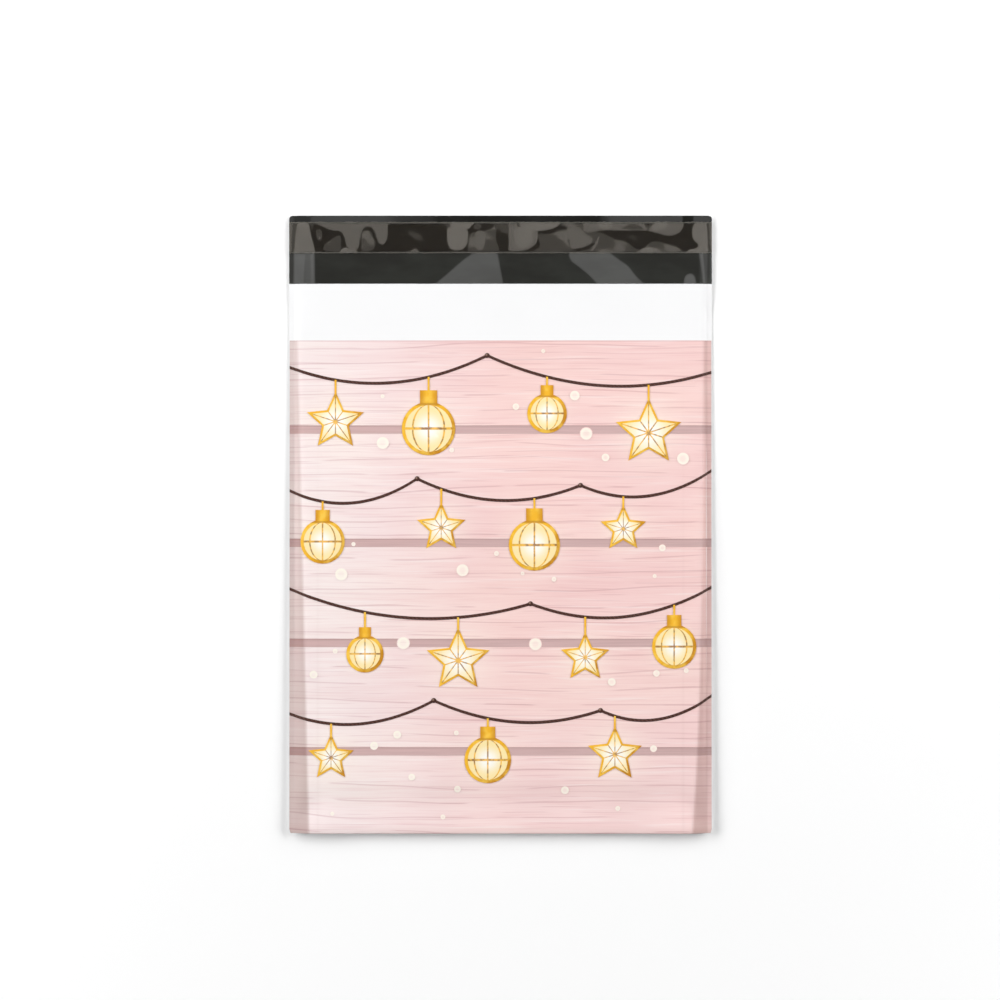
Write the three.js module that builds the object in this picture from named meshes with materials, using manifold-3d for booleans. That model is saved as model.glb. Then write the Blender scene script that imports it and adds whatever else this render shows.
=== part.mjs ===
// Poly mailer bag: one sheet of film folded at the bottom and welded at its sides into a pouch,
// with a sealing flap that carries an adhesive strip under a release liner, and a printed front.
// It lies flat on its back. Millimetres: +X across the bag, +Y from the fold to the flap, +Z up,
// with the origin under the middle of the bag.

import * as THREE from 'three';
import { mergeVertices } from 'three/addons/utils/BufferGeometryUtils.js';
import Module from 'manifold-3d';

const wasm = await Module();
wasm.setup();

const { lerp, smoothstep, degToRad } = THREE.MathUtils;

// The film: a 10 by 13 inch pouch and its flap
const BAG_WIDTH = 254;
const POUCH_LENGTH = 330;
const FLAP_LENGTH = 41;
const FILM = 0.07;
const WELD = 3;
const CORNER_RADIUS = 2;

// Height of the space that is left in the empty pouch
const MOUTH_GAP = 0.8;
const BODY_GAP = 3.3;
const FOLD_GAP = 0.9;
const FOLD_RISE = 34;

// Each side rises from its weld over a steep shoulder, then over a gentler one to full height
const LEFT_SHOULDER = { fold: 8, mouth: 2.4 };
const RIGHT_SHOULDER = { fold: 6, mouth: 1.8 };
const SHOULDER_HEIGHT = 0.8;
const GENTLE_END = 2.3;

// Slack waves that run up the front, a little askew
const WAVE_SHARE = 0.06;
const WAVE_PITCH = 57;
const WAVE_SWAY = 18;
const SWAY_LENGTH = 95;

// The flap stands a little off the surface that the bag lies on
const FLAP_LIFT = 1.3;
const LIFT_START = 60;
const LIFT_END = 20;

// The film's charcoal side shows on the flap, and carries the strip along the flap's free edge
const LINING = 0.03;
const LINER_MARGIN = 3.8;
const LINER_WIDTH = 18.8;
const LINER = 0.04;
const ADHESIVE_INSET = 1.4;
const ADHESIVE = 0.05;
const LAYER_GAP = 0.02;
const MOUTH_CLEARANCE = 0.3;

// The print starts below a bare band, as a field of painted boards with joints across it
const BARE_BAND = 34;
const PRINT_MARGIN = 0.3;
const BOARD_HEIGHTS = [51, 63, 55, 60];
const BOARD_JOINT = 5;

// Inks lie over each other in this order, each in a layer of its own
const LAYERS = ['field', 'joint', 'cord', 'ornament', 'glow'];
const INK = 0.04;
const INK_STEP = 0.07;
const FIRST_INK = 0.03;

// Cords hang in swags between pins: [across the bag, down from the print's top]
const CORD_WIDTH = 1.8;
const CORDS = [
  { pins: [[-127, 16], [-8, 9], [127, 19]], sag: 13 },
  { pins: [[-127, 90], [-50, 83], [48, 87], [127, 78]], sag: 11 },
  { pins: [[-127, 149], [18, 158], [127, 148]], sag: 13 },
  { pins: [[-127, 224], [-40, 216], [60, 222], [127, 213]], sag: 10 },
];

// Ornaments on each cord: [kind, share of the way across, size, length of its thread]
const ORNAMENTS = [
  [['star', 0.11, 1, 7], ['globe', 0.33, 1.15, 8], ['globe', 0.61, 0.85, 5], ['star', 0.85, 1.15, 8]],
  [['globe', 0.08, 0.95, 5], ['star', 0.36, 0.85, 8], ['globe', 0.58, 1.1, 6], ['star', 0.79, 0.8, 5]],
  [['globe', 0.18, 0.8, 9], ['star', 0.4, 1.1, 6], ['star', 0.7, 0.85, 9], ['globe', 0.91, 0.95, 6]],
  [['star', 0.1, 0.8, 6], ['globe', 0.47, 1, 5], ['star', 0.77, 0.95, 6]],
];
const GLOBE_RADIUS = 14;
const STAR_RADIUS = 18;
const STAR_WAIST = 0.47;
const RIM = 2;
const CAP_WIDTH = 9;
const CAP_HEIGHT = 6;
const THREAD_WIDTH = 1.2;

const WHITE_FILM = { color: 0xf7f7f8, roughness: 0.35 };
const CHARCOAL_FILM = { color: 0x32332f, roughness: 0.2 };
const ADHESIVE_LOOK = { color: 0x3a332c, roughness: 0.5 };
const LINER_LOOK = { color: 0x8a847a, roughness: 0.12, transparent: true, opacity: 0.5 };
const PINK_INK = { color: 0xf9dedd, roughness: 0.4 };
const MAUVE_INK = { color: 0xcfadab, roughness: 0.4 };
const BROWN_INK = { color: 0x4a2a22, roughness: 0.4 };
const GOLD_INK = { color: 0xf0b429, roughness: 0.35 };
const CREAM_INK = { color: 0xfff7dc, roughness: 0.4 };

// Lines of the form
const FOLD_Y = -(POUCH_LENGTH + FLAP_LENGTH) / 2;
const MOUTH_Y = FOLD_Y + POUCH_LENGTH;
const FLAP_Y = MOUTH_Y + FLAP_LENGTH;
const SEAM_X = BAG_WIDTH / 2 - WELD;
const PRINT_Y = MOUTH_Y - BARE_BAND;
const PRINT_X = BAG_WIDTH / 2 - PRINT_MARGIN;
const LINER_TOP = FLAP_Y - LINER_MARGIN;
const LINER_BOTTOM = LINER_TOP - LINER_WIDTH;

// How far up the pouch a line across it is: 0 at the fold, 1 at the mouth and on the flap
const wayUp = (y) => Math.min(1, (y - FOLD_Y) / POUCH_LENGTH);

const shoulderWidth = (side, y) => lerp(side.fold, side.mouth, wayUp(y));

// Half the bag's width, less at the rounded corners
function halfWidth(y) {
  const toEnd = Math.min(y - FOLD_Y, FLAP_Y - y);
  const short = Math.max(0, CORNER_RADIUS - toEnd);
  return BAG_WIDTH / 2 - CORNER_RADIUS + Math.sqrt(CORNER_RADIUS ** 2 - short ** 2);
}

// Share of the full height at a point: 0 at the welds, 1 past the two shoulders
function crown(x, y) {
  const width = shoulderWidth(x < 0 ? LEFT_SHOULDER : RIGHT_SHOULDER, y);
  const t = Math.max(0, (SEAM_X - Math.abs(x)) / width);
  const gentle = lerp(SHOULDER_HEIGHT, 1, (t - 1) / (GENTLE_END - 1));
  return t < 1 ? SHOULDER_HEIGHT * t : Math.min(1, gentle);
}

// Space between the two films
function pouchGap(x, y) {
  const turn = 2 * Math.PI * (x + WAVE_SWAY * Math.sin(y / SWAY_LENGTH)) / WAVE_PITCH;
  const wave = 1 + WAVE_SHARE * Math.cos(turn);
  const body = lerp(BODY_GAP, MOUTH_GAP, smoothstep(wayUp(y), 0.5, 1)) * wave;
  return lerp(FOLD_GAP, body, smoothstep(y - FOLD_Y, 0, FOLD_RISE)) * crown(x, y);
}

// Heights of the four faces of the two films. The back one is flat, then lifts towards the flap
function backOuter(x, y) {
  return FLAP_LIFT * smoothstep(y, MOUTH_Y - LIFT_START, MOUTH_Y + LIFT_END) * crown(x, y);
}
const backInner = (x, y) => backOuter(x, y) + FILM;
const frontInner = (x, y) => backInner(x, y) + pouchGap(x, y);
const frontOuter = (x, y) => frontInner(x, y) + FILM;

// The lines across the bag at which the film is shaped, closer together near the fold
const POUCH_ROWS = 12;
const ROW_CROWDING = 1.5;
const FIRST_Y = FOLD_Y + FOLD_GAP / 2 + FILM;
const rows = [FIRST_Y];
for (let j = 0; j <= POUCH_ROWS; j++) {
  rows.push(lerp(FOLD_Y + CORNER_RADIUS, MOUTH_Y, (j / POUCH_ROWS) ** ROW_CROWDING));
}
const MOUTH_ROW = rows.length - 1;
rows.push(
  MOUTH_Y + LIFT_END / 2,
  MOUTH_Y + LIFT_END,
  FLAP_Y - CORNER_RADIUS,
  FLAP_Y - CORNER_RADIUS * (1 - Math.SQRT1_2),
  FLAP_Y,
);
const LAST_ROW = rows.length - 1;

// The places along each line at which it is shaped follow the shoulders
const SHOULDER_STEPS = [0.5, 1, GENTLE_END];
const MIDDLE_COLUMNS = 11;
function columnsAt(y) {
  const left = SHOULDER_STEPS.map((step) => step * shoulderWidth(LEFT_SHOULDER, y) - SEAM_X);
  const right = SHOULDER_STEPS.map((step) => SEAM_X - step * shoulderWidth(RIGHT_SHOULDER, y));
  const middle = [];
  for (let k = 1; k <= MIDDLE_COLUMNS; k++) {
    middle.push(lerp(left.at(-1), right.at(-1), k / (MIDDLE_COLUMNS + 1)));
  }
  return [-halfWidth(y), -SEAM_X, ...left, ...middle, ...right.reverse(), SEAM_X, halfWidth(y)];
}
const columns = rows.map(columnsAt);
const LAST_COLUMN = columns[0].length - 1;
const ALL_COLUMNS = [0, LAST_COLUMN];
const POUCH_COLUMNS = [1, LAST_COLUMN - 1];

function pointOn(face, column, row, raise = 0) {
  const x = columns[row][column];
  return new THREE.Vector3(x, rows[row], face(x, rows[row]) + raise);
}

// A surface gathered triangle by triangle
class Skin {
  constructor() {
    this.points = [];
  }

  // A flat fan over a ring of corners, given anticlockwise as seen from outside
  fan(corners) {
    for (let k = 1; k < corners.length - 1; k++) {
      const triangle = [corners[0], corners[k], corners[k + 1]];
      const area = new THREE.Triangle(...triangle).getArea();
      if (area > 0) this.points.push(...triangle);
    }
  }

  // The cells of one face between two columns and two rows, looking up or down
  cells(face, columnSpan, rowSpan, up, raise = 0) {
    for (let row = rowSpan[0]; row < rowSpan[1]; row++) {
      for (let column = columnSpan[0]; column < columnSpan[1]; column++) {
        const ring = [
          pointOn(face, column, row, raise),
          pointOn(face, column + 1, row, raise),
          pointOn(face, column + 1, row + 1, raise),
          pointOn(face, column, row + 1, raise),
        ];
        this.fan(up ? ring : [ring[0], ring[3], ring[2], ring[1]]);
      }
    }
  }
}

// A closed geometry as a solid that can be cut and joined
function solidOf(geometry) {
  const bare = geometry.index ? geometry.toNonIndexed() : geometry.clone();
  bare.deleteAttribute('normal');
  bare.deleteAttribute('uv');
  const merged = mergeVertices(bare);
  return new wasm.Manifold(new wasm.Mesh({
    numProp: 3,
    vertProperties: merged.attributes.position.array,
    triVerts: new Uint32Array(merged.index.array),
  }));
}

function geometryOf(solid) {
  const { vertProperties, triVerts } = solid.getMesh();
  const shared = new THREE.BufferGeometry();
  shared.setAttribute('position', new THREE.BufferAttribute(vertProperties, 3));
  shared.setIndex(new THREE.BufferAttribute(triVerts, 1));
  const flat = shared.toNonIndexed();
  flat.computeVertexNormals();
  return flat;
}

function meshOf(name, solid, look) {
  const mesh = new THREE.Mesh(geometryOf(solid), new THREE.MeshStandardMaterial(look));
  mesh.name = name;
  return mesh;
}

// The points of the bottom fold in one column, from the back film round to the front film
const FOLD_STEPS = 4;
function foldArc(column, thickness) {
  const x = columns[0][column];
  const middle = FILM + pouchGap(x, FIRST_Y) / 2;
  const radius = middle - FILM + thickness;
  const arc = [];
  for (let k = 0; k <= FOLD_STEPS; k++) {
    const angle = Math.PI * (k / FOLD_STEPS - 0.5);
    const y = FIRST_Y - radius * Math.cos(angle);
    arc.push(new THREE.Vector3(x, y, middle + radius * Math.sin(angle)));
  }
  return arc;
}

// The film's white outer side: back, front, the outside of the fold, and the cut edges
function outerSkin() {
  const skin = new Skin();
  skin.cells(backOuter, ALL_COLUMNS, [0, LAST_ROW], false);
  skin.cells(frontOuter, ALL_COLUMNS, [0, MOUTH_ROW], true);
  for (let column = 0; column < LAST_COLUMN; column++) {
    const welded = column < POUCH_COLUMNS[0] || column >= POUCH_COLUMNS[1];
    const under = welded ? backInner : frontInner;
    for (const [top, bottom, row] of [[frontOuter, under, MOUTH_ROW], [backInner, backOuter, LAST_ROW]]) {
      skin.fan([
        pointOn(top, column, row),
        pointOn(top, column + 1, row),
        pointOn(bottom, column + 1, row),
        pointOn(bottom, column, row),
      ]);
    }
    const [here, next] = [foldArc(column, FILM), foldArc(column + 1, FILM)];
    for (let k = 0; k < FOLD_STEPS; k++) {
      skin.fan([here[k], next[k], next[k + 1], here[k + 1]]);
    }
  }
  for (const column of ALL_COLUMNS) {
    const facing = (ring) => (column ? ring : ring.reverse());
    skin.fan(facing(foldArc(column, FILM).reverse()));
    for (let row = 0; row < LAST_ROW; row++) {
      const top = row < MOUTH_ROW ? frontOuter : backInner;
      const step = row === MOUTH_ROW - 1 ? [pointOn(backInner, column, MOUTH_ROW)] : [];
      skin.fan(facing([
        pointOn(backOuter, column, row),
        pointOn(backOuter, column, row + 1),
        ...step,
        pointOn(top, column, row + 1),
        pointOn(top, column, row),
      ]));
    }
  }
  return skin;
}

// The film's charcoal inner side: the pocket, the inside of the fold, and the flap's upper face
function innerSkin() {
  const skin = new Skin();
  skin.cells(frontInner, POUCH_COLUMNS, [0, MOUTH_ROW], false);
  skin.cells(backInner, POUCH_COLUMNS, [0, MOUTH_ROW], true);
  skin.cells(backInner, ALL_COLUMNS, [MOUTH_ROW, LAST_ROW], true);
  for (let column = POUCH_COLUMNS[0]; column < POUCH_COLUMNS[1]; column++) {
    const [here, next] = [foldArc(column, 0), foldArc(column + 1, 0)];
    for (let k = 0; k < FOLD_STEPS; k++) {
      skin.fan([here[k], here[k + 1], next[k + 1], next[k]]);
    }
  }
  return skin;
}

function buildFilm() {
  const skins = [outerSkin().points, innerSkin().points];
  const geometry = new THREE.BufferGeometry().setFromPoints(skins.flat());
  geometry.addGroup(0, skins[0].length, 0);
  geometry.addGroup(skins[0].length, skins[1].length, 1);
  geometry.computeVertexNormals();
  const looks = [WHITE_FILM, CHARCOAL_FILM].map((look) => new THREE.MeshStandardMaterial(look));
  const mesh = new THREE.Mesh(geometry, looks);
  mesh.name = 'film_bag';
  return mesh;
}

// A closed layer over one face of the film, between two heights above it
function layerOver(face, rowSpan, [low, high]) {
  const skin = new Skin();
  skin.cells(face, ALL_COLUMNS, rowSpan, true, high);
  skin.cells(face, ALL_COLUMNS, rowSpan, false, low);
  const wall = (from, to, turned) => {
    const ring = [
      pointOn(face, ...from, low),
      pointOn(face, ...to, low),
      pointOn(face, ...to, high),
      pointOn(face, ...from, high),
    ];
    skin.fan(turned ? ring.reverse() : ring);
  };
  for (let column = 0; column < LAST_COLUMN; column++) {
    wall([column, rowSpan[0]], [column + 1, rowSpan[0]], false);
    wall([column, rowSpan[1]], [column + 1, rowSpan[1]], true);
  }
  for (let row = rowSpan[0]; row < rowSpan[1]; row++) {
    wall([0, row], [0, row + 1], true);
    wall([LAST_COLUMN, row], [LAST_COLUMN, row + 1], false);
  }
  return solidOf(new THREE.BufferGeometry().setFromPoints(skin.points));
}

// One ink's layer over the whole front
function inkLayer(name) {
  const low = FIRST_INK + INK_STEP * LAYERS.indexOf(name);
  return layerOver(frontOuter, [0, MOUTH_ROW], [low, low + INK]);
}

// An upright cutter with a flat outline, taller than the bag is thick
const CUTTER_HEIGHT = 20;
function cutter(shape) {
  const geometry = new THREE.ExtrudeGeometry(shape, {
    depth: CUTTER_HEIGHT,
    bevelEnabled: false,
    curveSegments: 16,
  });
  return solidOf(geometry.translate(0, 0, -CUTTER_HEIGHT / 2));
}

function outlineThrough(points) {
  return new THREE.Shape(points.map(([x, y]) => new THREE.Vector2(x, y)));
}

function rectangle(x0, x1, y0, y1) {
  return outlineThrough([[x0, y0], [x1, y0], [x1, y1], [x0, y1]]);
}

// What lies on the flap: the charcoal side of its film, the adhesive, and the liner that covers it
function buildFlapLayers() {
  let low = 0;
  const layer = (name, look, thickness, bottom, top) => {
    low += LAYER_GAP;
    const sheet = layerOver(backInner, [MOUTH_ROW, LAST_ROW], [low, low + thickness]);
    low += thickness;
    return meshOf(name, sheet.intersect(cutter(rectangle(-BAG_WIDTH, BAG_WIDTH, bottom, top))), look);
  };
  const adhesiveSpan = [LINER_BOTTOM + ADHESIVE_INSET, LINER_TOP - ADHESIVE_INSET];
  return [
    layer('flap_lining', CHARCOAL_FILM, LINING, MOUTH_Y + MOUTH_CLEARANCE, FLAP_Y + 1),
    layer('adhesive_strip', ADHESIVE_LOOK, ADHESIVE, ...adhesiveSpan),
    layer('release_liner', LINER_LOOK, LINER, LINER_BOTTOM, LINER_TOP),
  ];
}

// The painted field, and the joints between its boards, down from the top of the print
function buildBoards() {
  const field = cutter(rectangle(-PRINT_X, PRINT_X, FOLD_Y, PRINT_Y));
  const meshes = [meshOf('print_field', inkLayer('field').intersect(field), PINK_INK)];
  const ink = inkLayer('joint');
  let top = PRINT_Y;
  BOARD_HEIGHTS.forEach((height, k) => {
    top -= height;
    const joint = cutter(rectangle(-PRINT_X, PRINT_X, top - BOARD_JOINT, top));
    meshes.push(meshOf(`print_joint_${k + 1}`, ink.intersect(joint), MAUVE_INK));
    top -= BOARD_JOINT;
  });
  return meshes;
}

// Height of a cord's middle line: a parabola between each two of its pins
function cordHeight({ pins, sag }, x) {
  const next = Math.max(1, pins.findIndex(([pinX]) => pinX >= x));
  const [x0, drop0] = pins[next - 1];
  const [x1, drop1] = pins[next];
  const t = (x - x0) / (x1 - x0);
  return PRINT_Y - lerp(drop0, drop1, t) - 4 * sag * t * (1 - t);
}

const CORD_STEPS = 20;
function cordOutline(cord) {
  const upper = [];
  const lower = [];
  for (let k = 0; k <= CORD_STEPS; k++) {
    const x = lerp(-PRINT_X, PRINT_X, k / CORD_STEPS);
    const y = cordHeight(cord, x);
    lower.push([x, y - CORD_WIDTH / 2]);
    upper.push([x, y + CORD_WIDTH / 2]);
  }
  return outlineThrough([...lower, ...upper.reverse()]);
}

function buildCords() {
  const ink = inkLayer('cord');
  return CORDS.map((cord, k) => {
    const ribbon = ink.intersect(cutter(cordOutline(cord)));
    return meshOf(`print_cord_${k + 1}`, ribbon, BROWN_INK);
  });
}

function star(x, y, radius) {
  const points = [];
  for (let k = 0; k < 10; k++) {
    const angle = degToRad(90 + 36 * k);
    const reach = k % 2 ? radius * STAR_WAIST : radius;
    points.push([x + reach * Math.cos(angle), y + reach * Math.sin(angle)]);
  }
  return outlineThrough(points);
}

function globe(x, y, radius) {
  const shape = new THREE.Shape();
  shape.absarc(x, y, radius, 0, 2 * Math.PI);
  return shape;
}

// An ornament hangs from its cord by a thread: a gold ground, and a glow inside its rim
function buildOrnaments() {
  const gold = inkLayer('ornament');
  const cream = inkLayer('glow');
  const counts = { star: 0, globe: 0 };
  const meshes = [];
  const hang = (cord, [kind, across, size, thread]) => {
    const isGlobe = kind === 'globe';
    const outline = isGlobe ? globe : star;
    const radius = size * (isGlobe ? GLOBE_RADIUS : STAR_RADIUS);
    const cap = isGlobe ? size * CAP_HEIGHT : 0;
    const x = lerp(-BAG_WIDTH / 2, BAG_WIDTH / 2, across);
    const top = cordHeight(cord, x);
    const y = top - thread - cap - radius;
    const shoulder = y + 0.9 * radius;
    let ground = cutter(outline(x, y, radius));
    ground = ground.add(cutter(rectangle(x - THREAD_WIDTH / 2, x + THREAD_WIDTH / 2, shoulder, top)));
    if (isGlobe) {
      const half = size * CAP_WIDTH / 2;
      ground = ground.add(cutter(rectangle(x - half, x + half, shoulder, top - thread)));
    }
    counts[kind] += 1;
    const name = `print_${kind}_${counts[kind]}`;
    const rim = isGlobe ? RIM : 1.5 * RIM;
    meshes.push(meshOf(name, gold.intersect(ground), GOLD_INK));
    meshes.push(meshOf(`${name}_glow`, cream.intersect(cutter(outline(x, y, radius - rim))), CREAM_INK));
  };
  ORNAMENTS.forEach((row, k) => row.forEach((ornament) => hang(CORDS[k], ornament)));
  return meshes;
}

const mailer = new THREE.Group();
mailer.add(buildFilm(), ...buildFlapLayers(), ...buildBoards(), ...buildCords(), ...buildOrnaments());

export default mailer;
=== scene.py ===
"""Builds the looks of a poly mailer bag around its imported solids.

The bag lies on its back. +X runs across it, +Y from its bottom fold to its flap, and +Z up
through its printed front. The functions of form work in millimetres, as makers of film do, and
MM turns them into Blender's metres.
"""

import math
import random
from functools import cache

import bmesh
import bpy
import numpy as np
from bpy.props import FloatProperty, FloatVectorProperty, IntProperty, PointerProperty
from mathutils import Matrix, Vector


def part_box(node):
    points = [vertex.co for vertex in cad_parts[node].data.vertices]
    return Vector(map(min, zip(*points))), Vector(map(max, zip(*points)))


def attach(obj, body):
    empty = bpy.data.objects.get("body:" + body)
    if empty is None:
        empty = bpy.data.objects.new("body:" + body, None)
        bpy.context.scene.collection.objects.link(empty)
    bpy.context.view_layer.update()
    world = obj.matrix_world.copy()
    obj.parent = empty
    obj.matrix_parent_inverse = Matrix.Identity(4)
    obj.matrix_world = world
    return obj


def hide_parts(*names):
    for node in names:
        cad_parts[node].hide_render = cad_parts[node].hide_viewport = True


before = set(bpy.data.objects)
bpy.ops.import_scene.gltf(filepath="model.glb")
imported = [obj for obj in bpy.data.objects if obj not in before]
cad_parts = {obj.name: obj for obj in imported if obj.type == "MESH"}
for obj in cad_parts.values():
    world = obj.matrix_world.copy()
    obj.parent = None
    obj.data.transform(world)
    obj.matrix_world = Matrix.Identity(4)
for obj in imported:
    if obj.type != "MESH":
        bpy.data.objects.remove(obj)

bl_info = {
    "name": "Poly mailer bag",
    "version": (1, 0, 0),
    "blender": (4, 5, 0),
    "location": "3D View > Sidebar > Mailer",
    "description": "Adds the film, flap, liner and print of a poly mailer bag, and a plain stage",
    "category": "Add Mesh",
}

MM = 0.001


@cache
def box_of(node):
    """The lowest and highest corners of a solid, in millimetres."""
    low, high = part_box(node)
    return low / MM, high / MM


# Lines of the bag, from its solids
FOLD_Y = box_of("film_bag")[0].y
FLAP_Y = box_of("film_bag")[1].y
HALF_WIDTH = box_of("film_bag")[1].x
MOUTH_CLEARANCE = 0.3
MOUTH_Y = box_of("flap_lining")[0].y - MOUTH_CLEARANCE
POUCH_LENGTH = MOUTH_Y - FOLD_Y
PRINT_Y = box_of("print_field")[1].y
PRINT_X = box_of("print_field")[1].x
LINER_BOTTOM = box_of("release_liner")[0].y
LINER_TOP = box_of("release_liner")[1].y
STRIP_BOTTOM = box_of("adhesive_strip")[0].y
STRIP_TOP = box_of("adhesive_strip")[1].y

# The film, its welds and the space in the pouch
FILM = 0.07
WELD = 3.0
SEAM_X = HALF_WIDTH - WELD
CORNER_RADIUS = 2.0
MOUTH_GAP = 0.8
BODY_GAP = 3.3
FOLD_GAP = 0.9
FOLD_RISE = 34.0
LEFT_SHOULDER = (8.0, 2.4)
RIGHT_SHOULDER = (6.0, 1.8)
CROWN_RATE = 1.609
CROWN_POWER = 1.25
FIRST_Y = FOLD_Y + FOLD_GAP / 2 + FILM

# Slack waves that run up the front, a little askew
WAVE_SHARE = 0.09
WAVE_PITCH = 57.0
WAVE_SWAY = 18.0
SWAY_LENGTH = 95.0

# The edges curl up off the surface that the bag lies on, most near the bottom corners
BOTTOM_CURL = 2.4
BOTTOM_CURL_REACH = 26.0
SIDE_CURL = 2.6
SIDE_CURL_REACH = 22.0
CORNER_CURL = 0.9
CORNER_CURL_X = 105.0
CORNER_CURL_REACH = 13.0
CURL_BLEND = 0.6

# The flap stands a little off that surface, and falls away towards its two ends
FLAP_LIFT = 1.3
LIFT_START = 60.0
LIFT_END = 20.0
FLAP_FALL_LEFT = (-112.2, 0.05)
FLAP_FALL_RIGHT = (119.5, 0.06)

# Heights over the film's faces
LINING_TOP = 0.06
LINING = 0.035
STRIP_HEIGHT = 0.13
STRIP = 0.05
LINER_HEIGHT = 0.24
LINER = 0.04
INK_FLOOR = 0.03
INK_STEP = 0.07
INK = 0.04
INK_LAYERS = ("field", "joint", "cord", "ornament", "glow")


def mix(start, end, share):
    return start + (end - start) * share


def smooth(value, start, end):
    """0 before start, 1 after end, and a soft turn between them."""
    share = np.clip((value - start) / (end - start), 0, 1)
    return share * share * (3 - 2 * share)


def crisp(distance, softness=0.5):
    """1 on the side where distance is above 0, and 0 on the other, over a narrow edge."""
    return np.clip(distance / softness + 0.5, 0, 1)


def rounded_max(first, second, blend):
    """The larger of two values, with a soft turn where they meet."""
    return (first + second + np.sqrt((first - second) ** 2 + blend**2) - blend) / 2


def way_up(y):
    return np.minimum(1, (y - FOLD_Y) / POUCH_LENGTH)


def half_width(y):
    """Half the bag's width, less at its rounded corners."""
    to_end = np.minimum(y - FOLD_Y, FLAP_Y - y)
    short = np.clip(CORNER_RADIUS - to_end, 0, CORNER_RADIUS)
    return HALF_WIDTH - CORNER_RADIUS + np.sqrt(CORNER_RADIUS**2 - short**2)


def crown(x, y):
    """Share of the full height: 0 at the welds, and 1 past the shoulders beside them."""
    up = way_up(y)
    width = np.where(x < 0, mix(*LEFT_SHOULDER, up), mix(*RIGHT_SHOULDER, up))
    across = np.maximum(0, (SEAM_X - np.abs(x)) / width)
    return 1 - np.exp(-CROWN_RATE * across**CROWN_POWER)


def flap_crown(x):
    """Share of the flap's lift that is left where it falls away towards its ends."""
    left = np.maximum(0, FLAP_FALL_LEFT[0] - x) * FLAP_FALL_LEFT[1]
    right = np.maximum(0, x - FLAP_FALL_RIGHT[0]) * FLAP_FALL_RIGHT[1]
    return 1 - (left + right) / FLAP_LIFT


def puckers(x, y):
    """Short ripples that the welds draw in the film beside them, in millimetres."""
    inward = np.maximum(0, SEAM_X - np.abs(x))
    fade = np.exp(-((inward - 7) / 9) ** 2) * crown(x, y)
    side = np.where(x < 0, 0.7, 2.9)
    slant = y + 0.55 * inward
    ripple = np.sin(slant / 6.3 + side + 1.7 * np.sin(slant / 23 + side))
    return 0.11 * fade * ripple * smooth(y, FOLD_Y + 4, FOLD_Y + 30) * smooth(MOUTH_Y - y, 8, 60)


def pouch_gap(x, y):
    """Space between the two films."""
    turn = 2 * np.pi * (x + WAVE_SWAY * np.sin(y / SWAY_LENGTH)) / WAVE_PITCH
    wave = 1 + WAVE_SHARE * np.cos(turn)
    body = mix(BODY_GAP, MOUTH_GAP, smooth(way_up(y), 0.5, 1)) * wave
    return mix(FOLD_GAP, body, smooth(y - FOLD_Y, 0, FOLD_RISE)) * crown(x, y) + puckers(x, y)


def curl(x, y):
    """How far the pouch's edges stand off the surface that it lies on."""
    low = 1 - smooth(y - FOLD_Y, 0, BOTTOM_CURL_REACH)
    corner = np.exp(-(((np.abs(x) - CORNER_CURL_X) / CORNER_CURL_REACH) ** 2))
    side = 1 - smooth(HALF_WIDTH - np.abs(x), 0, SIDE_CURL_REACH)
    bottom = (BOTTOM_CURL + CORNER_CURL * corner) * low
    return rounded_max(bottom, SIDE_CURL * side * (1 - way_up(y)), CURL_BLEND)


def back_outer(x, y):
    """Height of the back film's underside."""
    shape = mix(crown(x, y), flap_crown(x), smooth(y, MOUTH_Y - 24, MOUTH_Y - 1))
    return FLAP_LIFT * smooth(y, MOUTH_Y - LIFT_START, MOUTH_Y + LIFT_END) * shape + curl(x, y)


def back_inner(x, y):
    return back_outer(x, y) + FILM


def front_outer(x, y):
    """Height of the front film's printed face."""
    return back_inner(x, y) + np.maximum(pouch_gap(x, y), 0.01) + FILM


# Lengths along the flat blank, from the mouth down the front and round the fold
FRONT_LENGTH = MOUTH_Y - FIRST_Y
TURN_LENGTH = math.pi * (FOLD_GAP / 2 + FILM)
BLANK_LENGTH = FRONT_LENGTH + TURN_LENGTH + FLAP_Y - FIRST_Y

# Mesh rows of the blank: the front, the turn, the back and the flap
COLUMNS = 130
FRONT_ROWS = 150
TURN_ROWS = 8
FLAP_ROWS = 24


def outer_place(across, along, lift=0.0):
    """The place of a point of the blank on the film's outer side, and lift above it.

    across runs from -1 to 1, and along is the length from the mouth down the front, round the
    bottom fold and up the back.
    """
    on_front = along <= FRONT_LENGTH
    on_back = along >= FRONT_LENGTH + TURN_LENGTH
    y = np.where(on_front, MOUTH_Y - along, FIRST_Y + along - FRONT_LENGTH - TURN_LENGTH)
    y = np.where(~on_front & ~on_back, FIRST_Y, y)
    x = across * half_width(y)
    angle = np.pi * (0.5 - np.clip((along - FRONT_LENGTH) / TURN_LENGTH, 0, 1))
    gap = np.maximum(pouch_gap(x, np.full_like(x, FIRST_Y)), 0.01)
    middle = back_inner(x, np.full_like(x, FIRST_Y)) + gap / 2
    radius = gap / 2 + FILM + lift
    z = np.where(on_front, front_outer(x, y) + lift, back_outer(x, y) - lift)
    turned = ~on_front & ~on_back
    y = np.where(turned, FIRST_Y - radius * np.cos(angle), y)
    z = np.where(turned, middle + radius * np.sin(angle), z)
    return x, y, z


def crowded(share):
    """From -1 to 1 across the bag, with places closer together near the two sides."""
    return 2 * (share - 0.5 * np.sin(2 * np.pi * share) / (2 * np.pi)) - 1


def new_grid(columns, rows):
    """A flat grid of 1 by 1 from the origin, with its columns along X."""
    bm = bmesh.new()
    bmesh.ops.create_grid(bm, x_segments=columns, y_segments=rows, size=0.5)
    bmesh.ops.translate(bm, verts=bm.verts, vec=(0.5, 0.5, 0))
    return bm


def places_of(bm):
    return np.array([vert.co for vert in bm.verts]).T


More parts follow.
